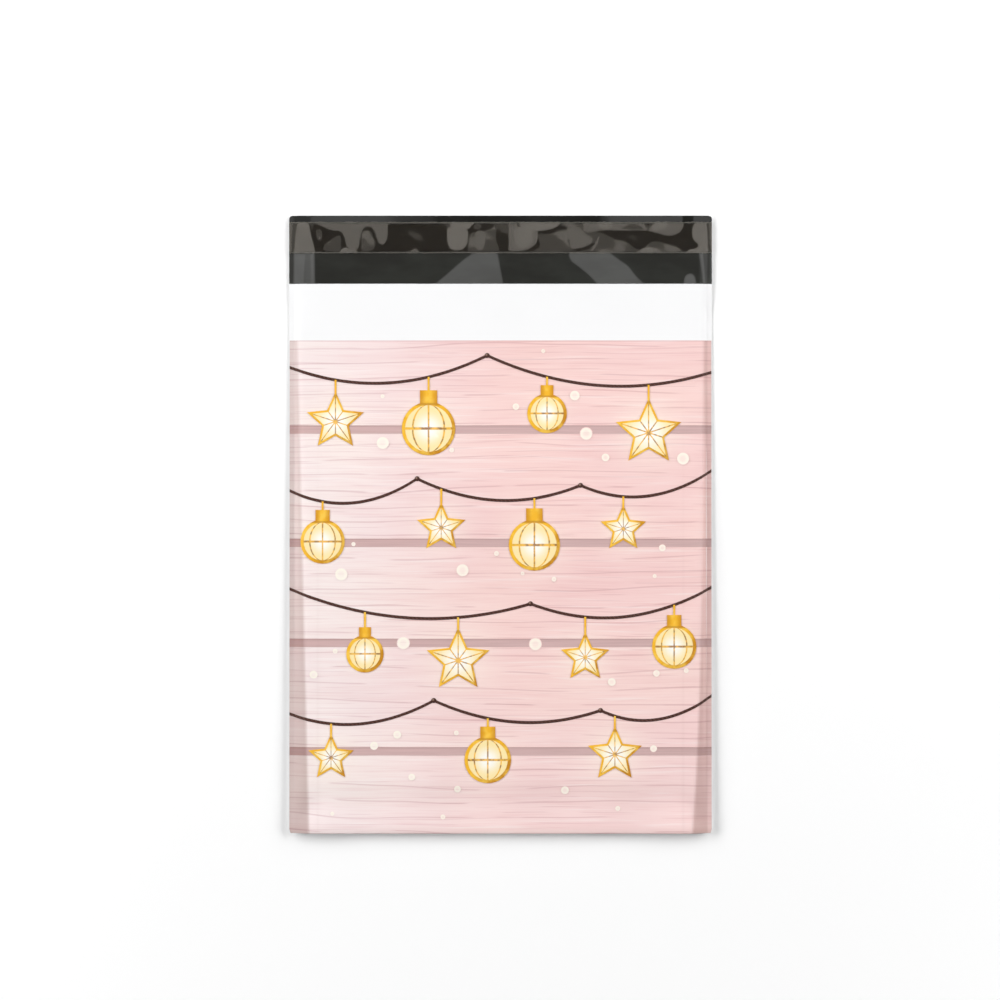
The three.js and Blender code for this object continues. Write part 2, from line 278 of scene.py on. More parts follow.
def move_to(bm, x, y, z):
    """Puts the vertices at places given in millimetres."""
    for vert, place in zip(bm.verts, np.stack([x, y, z], axis=1) * MM):
        vert.co = place


def finish_mesh(bm, name, nodes, materials, flat_angle=None):
    """Makes a mesh into a piece that rides on the bag and stands for its solids."""
    bmesh.ops.recalc_face_normals(bm, faces=bm.faces)
    mesh = bpy.data.meshes.new(name)
    bm.to_mesh(mesh)
    bm.free()
    for material in materials:
        mesh.materials.append(material)
    piece = bpy.data.objects.new(name, mesh)
    bpy.context.scene.collection.objects.link(piece)
    mesh.shade_smooth()
    if flat_angle is not None:
        mesh.set_sharp_from_angle(angle=math.radians(flat_angle))
    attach(piece, "root")
    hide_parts(*nodes)
    return piece


def store(piece, name, function):
    """Keeps a value that function works out for each place, in millimetres, on the mesh."""
    mesh = piece.data
    places = np.zeros(len(mesh.vertices) * 3, np.float32)
    mesh.vertices.foreach_get("co", places)
    x, y, _ = places.reshape(-1, 3).T.astype(float) / MM
    values = function(x, y)
    if values.ndim == 1:
        mesh.attributes.new(name, "FLOAT", "POINT").data.foreach_set("value", values)
    else:
        made = mesh.attributes.new(name, "FLOAT_VECTOR", "POINT")
        made.data.foreach_set("vector", values.T.ravel())


def wall(bm, thickness):
    """Gives a skin its thickness on the side away from its normals, and returns the new faces."""
    made = bmesh.ops.solidify(bm, geom=bm.faces[:], thickness=thickness * MM)["geom"]
    return [face for face in made if isinstance(face, bmesh.types.BMFace)]


# Materials


def node(tree, kind, inputs=None, **settings):
    """Adds a node. An input is a value, or a socket that it is joined to."""
    made = tree.nodes.new(kind)
    for name, value in settings.items():
        setattr(made, name, value)
    for name, value in (inputs or {}).items():
        if isinstance(value, bpy.types.NodeSocket):
            tree.links.new(value, made.inputs[name])
        else:
            made.inputs[name].default_value = value
    return made


def math_of(tree, operation, *values, clamp=False):
    inputs = dict(enumerate(values))
    return node(tree, "ShaderNodeMath", inputs, operation=operation, use_clamp=clamp).outputs[0]


def ranged(tree, value, low, high, to_low=0.0, to_high=1.0):
    """A value moved smoothly from one range to another, and held at its ends."""
    inputs = {"Value": value, "From Min": low, "From Max": high, "To Min": to_low, "To Max": to_high}
    made = node(tree, "ShaderNodeMapRange", inputs, interpolation_type="SMOOTHSTEP")
    return made.outputs["Result"]


def blended(tree, share, first, second, blend="MIX"):
    """Two colours mixed, by a value or a socket."""
    made = node(tree, "ShaderNodeMix", data_type="RGBA", blend_type=blend)
    for index, value in ((0, share), (6, first), (7, second)):
        if isinstance(value, bpy.types.NodeSocket):
            tree.links.new(value, made.inputs[index])
        else:
            made.inputs[index].default_value = value
    return made.outputs[2]


def object_place(tree):
    return node(tree, "ShaderNodeTexCoord").outputs["Object"]


def stretched_noise(tree, place, length, width, seed=0.0, detail=3.0, roughness=0.5):
    """Noise whose streaks run along X, about length by width in millimetres."""
    moved = node(
        tree,
        "ShaderNodeMapping",
        {"Vector": place, "Location": (seed, seed * 1.7, seed), "Scale": (1 / (length * MM), 1 / (width * MM), 1)},
    )
    inputs = {"Vector": moved.outputs[0], "Scale": 1.0, "Detail": detail, "Roughness": roughness}
    return node(tree, "ShaderNodeTexNoise", inputs).outputs["Fac"]


def attribute(tree, name, output="Fac"):
    return node(tree, "ShaderNodeAttribute", attribute_name=name).outputs[output]


def new_material(name):
    material = bpy.data.materials.new(name)
    material.use_nodes = True
    tree = material.node_tree
    return material, tree, tree.nodes["Principled BSDF"]


def join(tree, socket, target):
    tree.links.new(socket, target)


def tilted_normal(tree):
    """The surface's normal, leaned by the small creases that the mesh keeps as its tilt."""
    normal = node(tree, "ShaderNodeNewGeometry").outputs["Normal"]
    inputs = {0: normal, 1: attribute(tree, "tilt", "Vector")}
    leaned = node(tree, "ShaderNodeVectorMath", inputs, operation="ADD").outputs[0]
    return node(tree, "ShaderNodeVectorMath", {0: leaned}, operation="NORMALIZE").outputs[0]


def film_bump(tree, strength, size):
    """The slight orange peel of blown film."""
    inputs = {"Vector": object_place(tree), "Scale": 1 / (size * MM), "Detail": 2.0}
    peel = node(tree, "ShaderNodeTexNoise", inputs).outputs["Fac"]
    return node(tree, "ShaderNodeBump", {"Height": peel, "Strength": strength, "Distance": 0.00002})


def white_film():
    settings = bpy.context.scene.mailer_film
    material, tree, shader = new_material("white_film")
    cloud = stretched_noise(tree, object_place(tree), 60, 45, seed=3.1)
    tone = ranged(tree, cloud, 0.35, 0.7, 1.0, 0.985)
    white = node(tree, "ShaderNodeCombineColor", {0: tone, 1: tone, 2: tone}).outputs[0]
    join(tree, blended(tree, 1.0, (*settings.white, 1), white, "MULTIPLY"), shader.inputs["Base Color"])
    join(tree, ranged(tree, cloud, 0.3, 0.7, 0.3, 0.38), shader.inputs["Roughness"])
    join(tree, film_bump(tree, 0.25, 0.9).outputs[0], shader.inputs["Normal"])
    return material


def charcoal_film(creased):
    settings = bpy.context.scene.mailer_film
    material, tree, shader = new_material("charcoal_flap" if creased else "charcoal_film")
    cloud = stretched_noise(tree, object_place(tree), 30, 12, seed=1.3)
    tone = blended(tree, ranged(tree, cloud, 0.35, 0.65), (*settings.charcoal, 1), (0.0235, 0.0235, 0.021, 1))
    join(tree, ranged(tree, cloud, 0.3, 0.7, 0.09, 0.13), shader.inputs["Roughness"])
    if creased:
        join(tree, tilted_normal(tree), shader.inputs["Normal"])
        # Above the liner the same film is given a darker colour: painted shade that deepens the band there.
        up = node(tree, "ShaderNodeSeparateXYZ", {0: object_place(tree)}).outputs["Y"]
        above = ranged(tree, up, (LINER_TOP - 0.2) * MM, (LINER_TOP + 0.4) * MM)
        tone = blended(tree, above, tone, (0.012, 0.012, 0.0105, 1))
    join(tree, tone, shader.inputs["Base Color"])
    return material


def adhesive_look():
    material, tree, shader = new_material("hot_melt_adhesive")
    cloud = stretched_noise(tree, object_place(tree), 9, 3, seed=5.2)
    tone = blended(tree, ranged(tree, cloud, 0.35, 0.7), (0.03, 0.0235, 0.0175, 1), (0.037, 0.029, 0.021, 1))
    join(tree, tone, shader.inputs["Base Color"])
    join(tree, ranged(tree, cloud, 0.3, 0.7, 0.35, 0.55), shader.inputs["Roughness"])
    return material


def liner_look():
    """Clear film: what lies behind it shows, with a mirror's glint that grows at low angles."""
    material, tree, shader = new_material("clear_liner")
    tree.nodes.remove(shader)
    normal = tilted_normal(tree)
    glint = node(tree, "ShaderNodeBsdfGlossy", {"Color": (1.0, 0.95, 0.87, 1), "Roughness": 0.06, "Normal": normal})
    clear = node(tree, "ShaderNodeBsdfTransparent", {"Color": (0.97, 0.955, 0.93, 1)})
    share = node(tree, "ShaderNodeFresnel", {"IOR": 1.52, "Normal": normal})
    both = node(tree, "ShaderNodeMixShader", {0: share.outputs[0], 1: clear.outputs[0], 2: glint.outputs[0]})
    join(tree, both.outputs[0], tree.nodes["Material Output"].inputs["Surface"])
    return material


def board_colour(tree):
    """The painted boards: a pink that deepens to the right, with grain, cracks and worn paint."""
    settings = bpy.context.scene.mailer_print
    place = object_place(tree)
    parts = node(tree, "ShaderNodeSeparateXYZ", {0: place}).outputs
    board = 0.0
    for joint in joint_nodes():
        top = box_of(joint)[1].y * MM
        board = math_of(tree, "ADD", math_of(tree, "LESS_THAN", parts["Y"], top), board)
    sway = stretched_noise(tree, place, 70, 40, seed=2.2, detail=1.0)
    lifted = math_of(tree, "MULTIPLY_ADD", sway, 3.0 * MM, parts["Y"])
    cut_y = math_of(tree, "MULTIPLY_ADD", board, 0.0031, lifted)
    cut = node(tree, "ShaderNodeCombineXYZ", {0: parts["X"], 1: cut_y, 2: math_of(tree, "MULTIPLY", board, 0.37)})
    place = cut.outputs[0]

    share = ranged(tree, parts["X"], -HALF_WIDTH * MM, 0.15 * HALF_WIDTH * MM)
    # The pink is paler towards the bottom: painted light that evens out the lamps growing dimmer there.
    pale = ranged(tree, parts["Y"], FOLD_Y * MM, (FOLD_Y + 130) * MM, 0.72, 1.0)
    share = math_of(tree, "MULTIPLY", share, pale)
    colour = blended(tree, share, (*settings.pink_left, 1), (*settings.pink_right, 1))
    cloud = ranged(tree, stretched_noise(tree, place, 95, 55, seed=5.5, detail=1.0), 0.35, 0.65, 0.0, 0.6)
    colour = blended(tree, cloud, colour, (0.96, 0.92, 0.955, 1), "MULTIPLY")
    broad = ranged(tree, stretched_noise(tree, place, 100, 5, seed=7.7), 0.4, 0.7, 0.0, 0.55)
    colour = blended(tree, broad, colour, (*settings.grain, 1), "MULTIPLY")
    fine = ranged(tree, stretched_noise(tree, place, 30, 0.8, seed=0.4, detail=4.0), 0.45, 0.75, 0.0, 0.8)
    colour = blended(tree, fine, colour, (*settings.grain, 1), "MULTIPLY")
    worn = ranged(tree, stretched_noise(tree, place, 60, 2.0, seed=9.1, detail=3.0), 0.55, 0.72, 0.0, 0.25)
    colour = blended(tree, worn, colour, (1, 0.95, 0.94, 1))
    for pitch, thickness, seed, depth, rare in ((9.3, 0.055, 4.6, 0.8, 0.4), (3.3, 0.12, 6.3, 0.5, 0.5)):
        bend = stretched_noise(tree, place, 140, 40, seed=seed, detail=1.0)
        level = math_of(tree, "MULTIPLY_ADD", bend, 1.6, math_of(tree, "DIVIDE", cut_y, pitch * MM))
        off = math_of(tree, "ABSOLUTE", math_of(tree, "SUBTRACT", math_of(tree, "FRACT", level), 0.5))
        line = ranged(tree, off, thickness * 0.4, thickness, depth, 0.0)
        kept = ranged(tree, stretched_noise(tree, place, 45, pitch, seed=seed + 1, detail=1.0), rare, rare + 0.08)
        colour = blended(tree, math_of(tree, "MULTIPLY", line, kept), colour, (*settings.crack, 1), "MULTIPLY")
    border = ranged(tree, parts["Y"], (PRINT_Y - 0.9) * MM, (PRINT_Y - 0.4) * MM, 0.0, 0.7)
    return blended(tree, border, colour, (*settings.crack, 1), "MULTIPLY")


def print_shader(tree, shader, colour):
    """Ink on satin film."""
    join(tree, colour, shader.inputs["Base Color"])
    cloud = stretched_noise(tree, object_place(tree), 50, 50, seed=8.8, detail=1.0)
    join(tree, ranged(tree, cloud, 0.3, 0.7, 0.33, 0.42), shader.inputs["Roughness"])
    join(tree, film_bump(tree, 0.25, 0.9).outputs[0], shader.inputs["Normal"])


def boards_look():
    material, tree, shader = new_material("painted_boards")
    colour = board_colour(tree)
    colour = blended(tree, attribute(tree, "halo"), colour, (1.0, 0.9, 0.78, 1))
    # Painted shade: the edge_shade attribute darkens the print where the pouch turns down.
    colour = blended(tree, attribute(tree, "edge_shade"), colour, (0.62, 0.55, 0.53, 1), "MULTIPLY")
    print_shader(tree, shader, colour)
    return material


def joint_look():
    settings = bpy.context.scene.mailer_print
    material, tree, shader = new_material("board_joints")
    place = object_place(tree)
    fine = ranged(tree, stretched_noise(tree, place, 40, 0.7, seed=1.9, detail=4.0), 0.35, 0.7)
    colour = blended(tree, fine, (*settings.joint, 1), (0.57, 0.385, 0.375, 1))
    colour = blended(tree, attribute(tree, "upper"), colour, (0.48, 0.31, 0.3, 1))
    # Painted shade: the edge_shade attribute darkens the joints where the pouch turns down.
    colour = blended(tree, attribute(tree, "edge_shade"), colour, (0.62, 0.55, 0.53, 1), "MULTIPLY")
    print_shader(tree, shader, colour)
    return material


def cord_look():
    """A dark cord laid from slanting strands."""
    settings = bpy.context.scene.mailer_print
    material, tree, shader = new_material("dark_cord")
    parts = node(tree, "ShaderNodeSeparateXYZ", {0: attribute(tree, "strand", "Vector")}).outputs
    turn = math_of(tree, "MULTIPLY_ADD", parts["Y"], 2.2, math_of(tree, "MULTIPLY", parts["X"], 2.6))
    strands = ranged(tree, math_of(tree, "SINE", turn), -0.2, 0.9)
    colour = blended(tree, strands, (*settings.cord, 1), (0.1, 0.045, 0.035, 1))
    print_shader(tree, shader, colour)
    return material


def nail_look():
    """A dark round head that catches the light on its upper left."""
    settings = bpy.context.scene.mailer_print
    material, tree, shader = new_material("nail_heads")
    local = attribute(tree, "local", "Vector")
    shine = node(tree, "ShaderNodeVectorMath", {0: local, 1: (-0.3, 0.3, 0)}, operation="DISTANCE")
    share = ranged(tree, shine.outputs["Value"], 0.1, 0.6, 0.8, 0.0)
    print_shader(tree, shader, blended(tree, share, (*settings.cord, 1), (0.4, 0.26, 0.2, 1)))
    return material


def gold_look():
    """Gold that turns from bright to bronze, as if lit from one side."""
    settings = bpy.context.scene.mailer_print
    material, tree, shader = new_material("gold_ink")
    parts = node(tree, "ShaderNodeSeparateXYZ", {0: attribute(tree, "local", "Vector")}).outputs
    lean = math_of(tree, "MULTIPLY_ADD", parts["X"], 0.6, math_of(tree, "MULTIPLY", parts["Y"], -0.5))
    dark = ranged(tree, lean, -0.2, 0.75)
    cloud = ranged(tree, stretched_noise(tree, object_place(tree), 5, 5, seed=3.3), 0.4, 0.66)
    colour = blended(tree, dark, (*settings.gold, 1), (0.56, 0.24, 0.015, 1))
    colour = blended(tree, math_of(tree, "MULTIPLY", cloud, 0.55), colour, (1.0, 0.68, 0.12, 1))
    from_foot = math_of(tree, "ABSOLUTE", math_of(tree, "SUBTRACT", parts["Y"], 1.03))
    colour = blended(tree, ranged(tree, from_foot, 0.02, 0.09, 0.6, 0.0), colour, (0.4, 0.16, 0.02, 1))
    round_cap = ranged(tree, math_of(tree, "ABSOLUTE", parts["X"]), 0.06, 0.34, 0.0, 0.75)
    round_cap = math_of(tree, "MULTIPLY", round_cap, ranged(tree, parts["Y"], 1.02, 1.04))
    colour = blended(tree, round_cap, colour, (0.6, 0.25, 0.015, 1))
    print_shader(tree, shader, colour)
    return material


def glow_look(kind):
    """Warm light that is whitest in the middle, behind thin gold ribs."""
    settings = bpy.context.scene.mailer_print
    material, tree, shader = new_material(f"{kind}_glow")
    local = attribute(tree, "local", "Vector")
    parts = node(tree, "ShaderNodeSeparateXYZ", {0: local}).outputs
    reach = node(tree, "ShaderNodeVectorMath", {0: local}, operation="LENGTH").outputs["Value"]
    colour = blended(tree, ranged(tree, reach, 0.1, 0.85), (1.0, 0.985, 0.93, 1), (*settings.cream, 1))
    if kind == "star":
        angle = math_of(tree, "ARCTAN2", parts["X"], parts["Y"])
        wave = math_of(tree, "ABSOLUTE", math_of(tree, "SINE", math_of(tree, "MULTIPLY", angle, 5.0)))
        ribs = math_of(tree, "MULTIPLY", wave, math_of(tree, "MULTIPLY", reach, 0.2))
        rib = ranged(tree, ribs, 0.012, 0.026, 1.0, 0.0)
    else:
        square = math_of(tree, "MULTIPLY", parts["Y"], parts["Y"])
        level = math_of(tree, "SQRT", math_of(tree, "SUBTRACT", 1.02, square, clamp=True))
        round_place = math_of(tree, "DIVIDE", parts["X"], level)
        wave = math_of(tree, "ABSOLUTE", math_of(tree, "SINE", math_of(tree, "MULTIPLY", round_place, math.pi * 1.5)))
        ribs = math_of(tree, "MULTIPLY", wave, math_of(tree, "MULTIPLY", level, 0.2))
        rib = ranged(tree, ribs, 0.02, 0.045, 1.0, 0.0)
        belt = ranged(tree, math_of(tree, "ABSOLUTE", parts["Y"]), 0.035, 0.07, 1.0, 0.0)
        rib = math_of(tree, "MAXIMUM", rib, belt)
    worn = ranged(tree, stretched_noise(tree, object_place(tree), 2.5, 2.5, seed=6.6), 0.35, 0.6)
    ink = blended(tree, worn, (0.28, 0.11, 0.02, 1), (*settings.gold, 1))
    colour = blended(tree, math_of(tree, "MULTIPLY", rib, 0.9), colour, ink)
    print_shader(tree, shader, colour)
    return material


def dot_look():
    """A cream dot of light that is brightest near its rim, over the boards."""
    material, tree, shader = new_material("cream_dots")
    reach = node(tree, "ShaderNodeVectorMath", {0: attribute(tree, "local", "Vector")}, operation="LENGTH")
    reach = reach.outputs["Value"]
    inner = ranged(tree, reach, 0.2, 0.75, 0.5, 0.8)
    share = math_of(tree, "MULTIPLY", inner, ranged(tree, reach, 0.8, 0.98, 1.0, 0.0))
    colour = blended(tree, share, board_colour(tree), (1.0, 0.96, 0.83, 1))
    print_shader(tree, shader, colour)
    return material


# Names of like solids


def joint_nodes():
    return sorted(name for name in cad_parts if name.startswith("print_joint_"))


def cord_nodes():
    return sorted(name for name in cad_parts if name.startswith("print_cord_"))


def ornament_nodes():
    """The gold grounds, each of which has a glow over it."""
    glows = [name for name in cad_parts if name.endswith("_glow")]
    return sorted(name.removesuffix("_glow") for name in glows)


def ornament_middle(node_name):
    """Kind, middle and radius of an ornament, from the box of its glow."""
    kind = node_name.split("_")[1]
    low, high = box_of(f"{node_name}_glow")
    height = high.y - low.y
    radius = height / (1 + math.cos(math.radians(36))) if kind == "star" else height / 2
    return kind, (low.x + high.x) / 2, high.y - radius, radius


# The film and what lies on the flap


def build_film():
    """One sheet that is folded at the bottom, white outside and charcoal inside."""
    knots = np.cumsum([0, FRONT_ROWS, TURN_ROWS, FRONT_ROWS, FLAP_ROWS])
    turned = FRONT_LENGTH + TURN_LENGTH
    lengths = [0, FRONT_LENGTH, turned, turned + FRONT_LENGTH, BLANK_LENGTH]
    bm = new_grid(COLUMNS, knots[-1])
    share, along, _ = places_of(bm)
    x, y, z = outer_place(crowded(share), np.interp(along * knots[-1], knots, lengths))
    move_to(bm, x, y, z)
    bmesh.ops.reverse_faces(bm, faces=bm.faces)
    for face in wall(bm, bpy.context.scene.mailer_film.thickness / MM):
        face.material_index = 1
    looks = [white_film(), charcoal_film(creased=False)]
    return finish_mesh(bm, "mailer_film", ["film_bag"], looks, flat_angle=50)


def flap_grid(columns, rows, bottom, top, height, relief=None):
    """A skin over the flap's upper face, between two lines across it."""
    bm = new_grid(columns, rows)
    share, up, _ = places_of(bm)
    y = mix(bottom, top, up)
    x = (2 * share - 1) * (half_width(y) - 0.02)
    z = back_inner(x, y) + height
    move_to(bm, x, y, z if relief is None else z + relief(x, y))
    return bm


# How far a crease leans towards the flap's free edge: more leans to a brighter light
FLAT = 0.0
FAINT = 0.055
SOFT = 0.104
LIT = 0.178
BRIGHT = 0.248

# Leaning patches of the plain film between the mouth and the liner: lean and outline
FILM_FACETS = [(FAINT, [(-129, 165.5), (-125.5, 165.5), (-126, 142), (-129, 142)]),
    (BRIGHT, [(-124, 165.5), (-116.5, 165.5), (-118, 141.5), (-124.5, 141.5)]),
    (LIT, [(-117, 165.5), (-114, 165.5), (-114.5, 141.5), (-118, 141.5)]),
    (BRIGHT, [(-114.5, 165.5), (-112, 165.5), (-111.5, 141.5), (-114.5, 141.5)]),
    (
        LIT,
        [(-41.5, 142.5), (-35.5, 147.5), (-25, 156.5), (-21.5, 159.5), (-12.5, 165.5), (-2.5, 165.5),
         (0, 153), (2.5, 141), (-41.5, 141)],
    ),
    (
        LIT,
        [(41, 166.5), (60.5, 166.5), (72.5, 158), (77, 155), (80.5, 150), (84.5, 146), (91.5, 141.5),
         (61, 141.5), (53, 150), (47.5, 154.5), (41.5, 159)],
    ),
    (BRIGHT, [(110, 141), (110.5, 148.5), (112.5, 150.5), (115.5, 150.5), (117, 148), (118, 141)]),
    (BRIGHT, [(119, 166), (121.5, 166), (123, 153), (123.5, 141), (122, 141), (120.5, 155)]),
    (SOFT, [(122, 166), (124.5, 166), (124.5, 141), (123.5, 141), (123, 154)]),
    (SOFT, [(125.5, 166), (129, 166), (129, 141), (125.5, 141)]),
]

# The narrow band of film above the liner: where it leans, and how much
EDGE_BAND = [(-127, SOFT), (-124.5, SOFT), (-124, 0), (-114.5, 0), (-113.5, SOFT), (-72, SOFT)]
EDGE_BAND += [(-36, 0), (58, 0), (68, SOFT), (109, SOFT), (109.8, 0), (115.4, 0), (116.4, SOFT)]

# Patches of the crinkled liner. Each lies over those before it.
LINER_FACETS = [
    (SOFT, [(-129, 181.5), (-125, 181.5), (-125.5, 161), (-129, 161)]),
    (
        LIT,
        [(-122, 181.5), (-115.5, 181.5), (-114, 174), (-112.5, 168), (-111, 162), (-124, 162),
         (-123.5, 171)],
    ),
    (FAINT, [(-111, 177.5), (-107, 177.5), (-107.5, 170.5), (-109.5, 170.5), (-110.5, 173)]),
    (
        FAINT,
        [(-106.5, 164), (-106.5, 167), (-102, 171), (-98, 173.5), (-96, 173), (-95.5, 167), (-96, 164)],
    ),
    (
        SOFT,
        [(-117, 182.5), (-65, 182.5), (-66, 180.5), (-68, 180), (-67.5, 173), (-69.5, 168), (-72.5, 168),
         (-74.5, 172), (-76, 177), (-78.5, 179), (-82, 178.5), (-84, 175.5), (-84.5, 169), (-86, 165),
         (-90.5, 165), (-93, 168), (-93.5, 173), (-96, 176.5), (-102.5, 176.5), (-107, 179),
         (-111.5, 180.5)],
    ),
    (LIT, [(-97, 162), (-96, 164.5), (-93.5, 166.5), (-90.5, 165), (-86, 164.5), (-86, 162)]),
    (
        FAINT,
        [(-83.5, 164), (-83.5, 174.5), (-81.5, 176.5), (-78.5, 176.5), (-76.5, 173), (-75, 169),
         (-76, 165.5), (-78.5, 164)],
    ),
    (SOFT, [(-56, 162), (-53, 165), (-50.5, 166), (-47.5, 162)]),
    (
        LIT,
        [(-32, 178.5), (-26, 179), (-20, 177.5), (-19.5, 173), (-20, 168.5), (-22.5, 165.5), (-26, 164.5),
         (-30, 165.5), (-32, 169)],
    ),
    (LIT, [(-31.5, 182.5), (-14, 182.5), (-17.5, 179.5), (-19, 177), (-25.5, 178.5), (-29.5, 179)]),
    (FAINT, [(-16.5, 180), (-11.5, 180.5), (-11.5, 177.5), (-16, 177)]),
    (
        FAINT,
        [(-18.5, 175), (-14.5, 175.5), (-10, 176), (-6.5, 177.5), (-2.5, 179.5), (-3, 171), (-1, 166.5),
         (-0.5, 162), (-19.5, 162), (-19.5, 167)],
    ),
    (SOFT, [(-15, 176.5), (-10, 176.5), (-9.5, 171), (-10, 165), (-14.5, 164.5), (-15, 171)]),
    (FAINT, [(4, 181.5), (11, 181.5), (10, 178), (5, 176)]),
    (
        SOFT,
        [(5, 177.5), (9.5, 178.5), (18.5, 179), (22.5, 178), (22.5, 173), (21.5, 168.5), (17.5, 165.5),
         (11.5, 164), (4.5, 164), (5, 169)],
    ),
    (
        LIT,
        [(8, 177.5), (13, 178.5), (19, 177.5), (20, 173), (18.5, 168.5), (14.5, 165.5), (11.5, 166),
         (9, 170)],
    ),
    (LIT, [(10, 182.5), (36.5, 182.5), (34.5, 179), (29, 177), (23.5, 176), (17, 177.5), (12.5, 178.5)]),
    (
        FAINT,
        [(22.5, 175), (31, 174.5), (35.5, 176.5), (40.5, 177), (40.5, 171), (42.5, 165.5), (43.5, 162),
         (17, 162), (21.5, 165), (24, 167), (23, 171.5)],
    ),
    (
        FAINT,
        [(35.5, 182.5), (51.5, 182.5), (50.5, 176), (57.5, 176), (63.5, 174), (69, 171), (74, 170.5),
         (77, 168.5), (80, 166), (84.5, 165), (80, 162), (43, 162), (41.5, 169), (42.5, 175.5),
         (39.5, 179), (36.5, 179)],
    ),
    (SOFT, [(39.5, 177.5), (42, 177.5), (42.5, 172), (41, 170.5), (40, 173)]),
    (
        SOFT,
        [(42, 172.5), (46.5, 174), (53, 173.5), (55.5, 171), (54, 168), (49.5, 165.5), (43.5, 165),
         (41.5, 169)],
    ),
    (
        FLAT,
        [(43.5, 165.5), (49.5, 166), (53.5, 168), (56.5, 169.5), (57, 168.5), (54.5, 166), (50, 164.5),
         (44, 164)],
    ),
    (SOFT, [(59, 173.5), (60, 173), (57.5, 167), (55, 164), (54, 164.5), (56.5, 168)]),
    (
        SOFT,
        [(49.5, 182.5), (84, 182.5), (87, 179), (89, 176.5), (72, 176.5), (59.5, 176.5), (54.5, 175.5),
         (50, 176)],
    ),
    (LIT, [(58, 182.5), (67.5, 182.5), (66.5, 177.5), (60, 177.5)]),
    (FAINT, [(72, 178), (78, 180.5), (82, 180.5), (87.5, 177), (72.5, 177)]),
    (
        SOFT,
        [(88.5, 176.5), (90.5, 179), (94, 182.5), (110, 182.5), (110, 178), (106.5, 174.5), (100.5, 173),
         (94.5, 175), (90.5, 176)],
    ),
    (LIT, [(90, 177.5), (93, 181), (99.5, 182), (100, 178.5), (94, 176.5)]),
    (
        FAINT,
        [(86, 166), (90.5, 170), (94.5, 170), (99.5, 168.5), (106.5, 166.5), (110, 163.5), (111, 162),
         (94.5, 162), (92, 165.5)],
    ),
    (LIT, [(80, 162), (84, 165), (87.5, 166.5), (93, 166), (96.5, 163.5), (97, 162)]),
    (
        LIT,
        [(115, 177), (116, 180), (118.5, 182.5), (123.5, 182.5), (124.5, 172), (125, 161), (111, 161),
         (112.5, 165), (116, 165), (119, 166.5), (118.5, 169), (115.5, 171)],
    ),
    (SOFT, [(125.5, 182.5), (129, 182.5), (129, 161), (126.5, 161), (125.5, 172)]),
]


def softened(outline):
    """An outline whose corners are cut off twice, so that it turns softly."""
    outline = np.array(outline, float)
    for cut in (1.6, 0.5):
        ahead = np.roll(outline, -1, axis=0)
        length = np.linalg.norm(ahead - outline, axis=1, keepdims=True)
        share = np.minimum(0.25, cut / length)
        pairs = [mix(outline, ahead, share), mix(ahead, outline, share)]
        outline = np.stack(pairs, axis=1).reshape(-1, 2)
    return outline


def depth_inside(x, y, outline):
    """Distance to an outline, above 0 inside it and below 0 outside."""
    nearest = np.full_like(x, np.inf)
    inside = np.zeros(x.shape, bool)
    for (x1, y1), (x2, y2) in zip(outline, np.roll(outline, -1, axis=0)):
        run = x2 - x1
        rise = y2 - y1
        share = np.clip(((x - x1) * run + (y - y1) * rise) / (run**2 + rise**2), 0, 1)
        nearest = np.minimum(nearest, np.hypot(x - x1 - share * run, y - y1 - share * rise))
        if rise:
            inside ^= ((y1 > y) != (y2 > y)) & (x < x1 + (y - y1) * run / rise)
    return np.where(inside, nearest, -nearest)


def leaning(x, y, facets, softness):
    """How far the patches lean at each place."""
    lean = np.zeros_like(x)
    for amount, outline in facets:
        lean = mix(lean, amount, crisp(depth_inside(x, y, softened(outline)), softness))
    return lean


def lining_tilt(x, y):
    """How the charcoal face of the flap leans at its creases."""
    along, amounts = zip(*EDGE_BAND)
    above = 0.72 * np.interp(x, along, amounts) * crisp(y - LINER_TOP)
    lean = leaning(x, y, FILM_FACETS, 1.4) * crisp(LINER_BOTTOM + 0.4 - y) + above
    sway = 0.006 * np.sin(x / 9 + np.sin(y / 5)) + 0.004 * np.sin(x / 3.7 + y / 4)
    return np.stack([sway, lean + sway, np.zeros_like(x)])


def liner_tilt(x, y):
    """How the clear liner leans in its crinkles, and at its two cut edges."""
    lean = leaning(x, y, LINER_FACETS, 0.8)
    to_edge = np.minimum(y - LINER_BOTTOM, LINER_TOP - y)
    lean = np.maximum(lean, SOFT * crisp(0.9 - to_edge))
    sway = 0.01 * np.sin(x / 5 + 1.3 * np.sin(y / 3.1)) + 0.006 * np.sin(x / 2.3 + y / 2)
    return np.stack([sway, lean + sway, np.zeros_like(x)])


def liner_relief(x, y):
    """Height of the liner's crinkles."""
    return 0.05 * np.sin(x / 7.1 + np.sin(y / 4.3)) + 0.3 * leaning(x, y, LINER_FACETS, 2.5)


def build_lining():
    """The film's charcoal side, which shows on the flap."""
    bm = flap_grid(508, 80, MOUTH_Y + MOUTH_CLEARANCE, FLAP_Y, LINING_TOP)
    wall(bm, LINING)
    looks = [charcoal_film(creased=True)]
    piece = finish_mesh(bm, "charcoal_lining", ["flap_lining"], looks, flat_angle=50)
    store(piece, "tilt", lining_tilt)
    return piece


def build_strip():
    """The band of hot-melt adhesive under the liner."""
    bm = flap_grid(180, 16, STRIP_BOTTOM, STRIP_TOP, STRIP_HEIGHT)
    wall(bm, STRIP)
    return finish_mesh(bm, "adhesive_band", ["adhesive_strip"], [adhesive_look()], flat_angle=50)


def build_liner():
    """The clear film that covers the adhesive until the bag is sealed."""
    bm = flap_grid(508, 40, LINER_BOTTOM, LINER_TOP, LINER_HEIGHT, liner_relief)
    wall(bm, LINER)
    looks = [liner_look()]
    piece = finish_mesh(bm, "clear_release_liner", ["release_liner"], looks, flat_angle=50)
    store(piece, "tilt", liner_tilt)
    return piece


# The print


